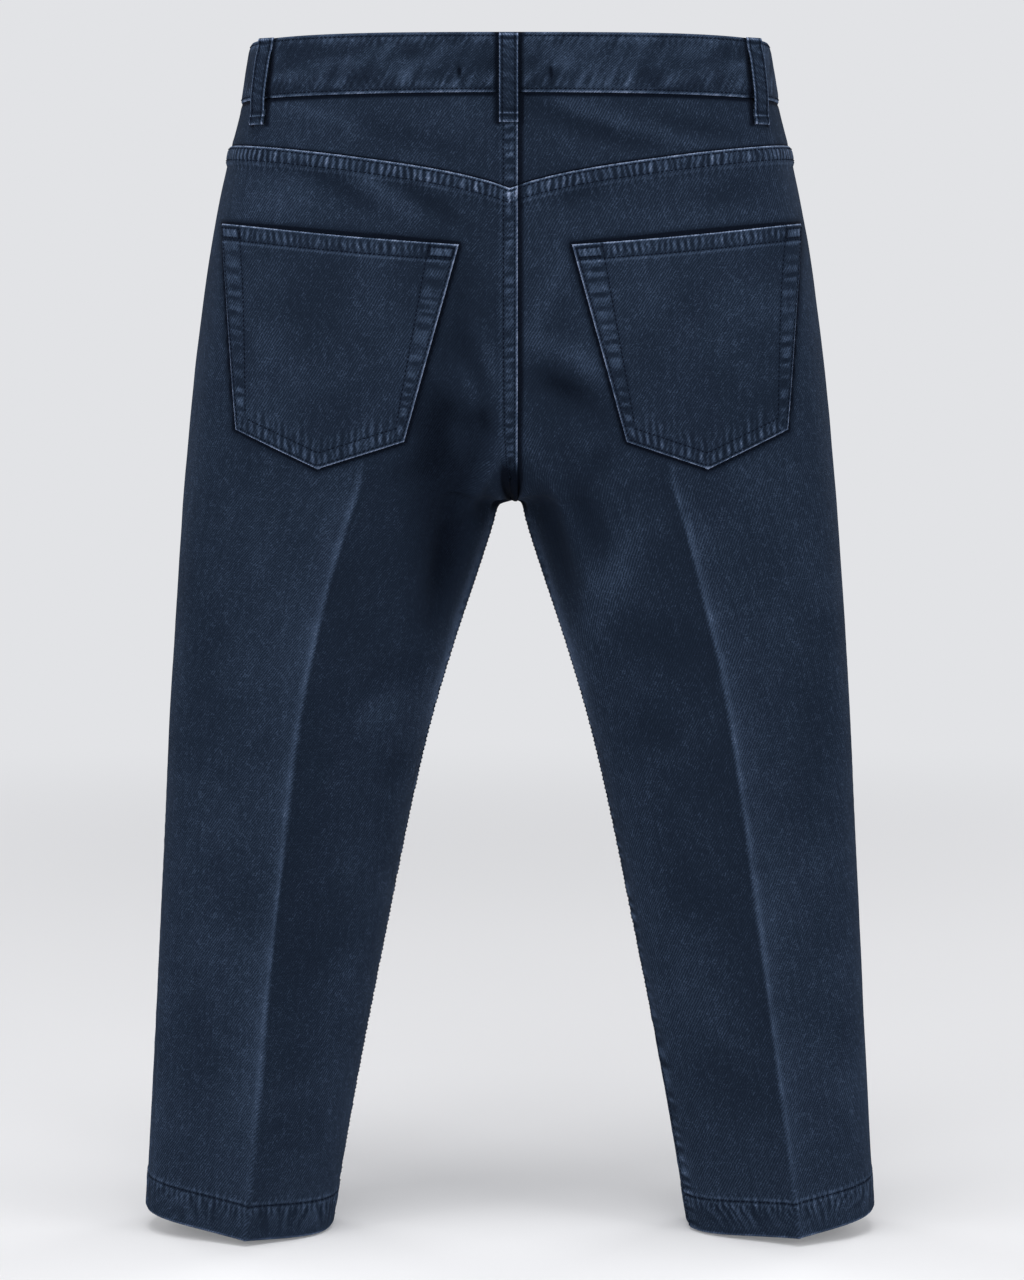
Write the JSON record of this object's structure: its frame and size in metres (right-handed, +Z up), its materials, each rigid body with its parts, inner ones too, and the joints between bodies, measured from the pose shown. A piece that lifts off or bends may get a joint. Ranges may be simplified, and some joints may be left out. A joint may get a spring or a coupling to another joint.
{
  "type": "capri pants",
  "caption": "Cropped, tapered cotton-twill trousers with a back yoke, patch pockets, belt loops and pressed creases, filled out as when worn.",
  "frame": {"origin": "middle of the waist opening, half way up the waistband", "axes": "+Z up through the waist opening, -Y towards the front of the trousers, +X towards the wearer's left"},
  "size_m": [0.4962, 0.1903, 0.7969],
  "materials": {
    "twill": "garment-dyed navy cotton twill, matte, worn lighter along its edges",
    "waist_twill": "the same twill, doubled and a little more washed out",
    "button": "dark navy resin with a dull shine"
  },
  "bodies": {
    "root": {"back_panel_left": "twill", "back_panel_right": "twill", "front_panel_left": "twill", "front_panel_right": "twill", "back_yoke_left": "twill", "back_yoke_right": "twill", "back_pocket_left": "twill", "back_pocket_right": "twill", "waistband": "waist_twill", "fly": "twill", "belt_loop_back_centre": "waist_twill", "belt_loop_back_left": "waist_twill", "belt_loop_back_right": "waist_twill", "belt_loop_front_left": "waist_twill", "belt_loop_front_right": "waist_twill", "waist_button": "button"}
  },
  "joints": []
}
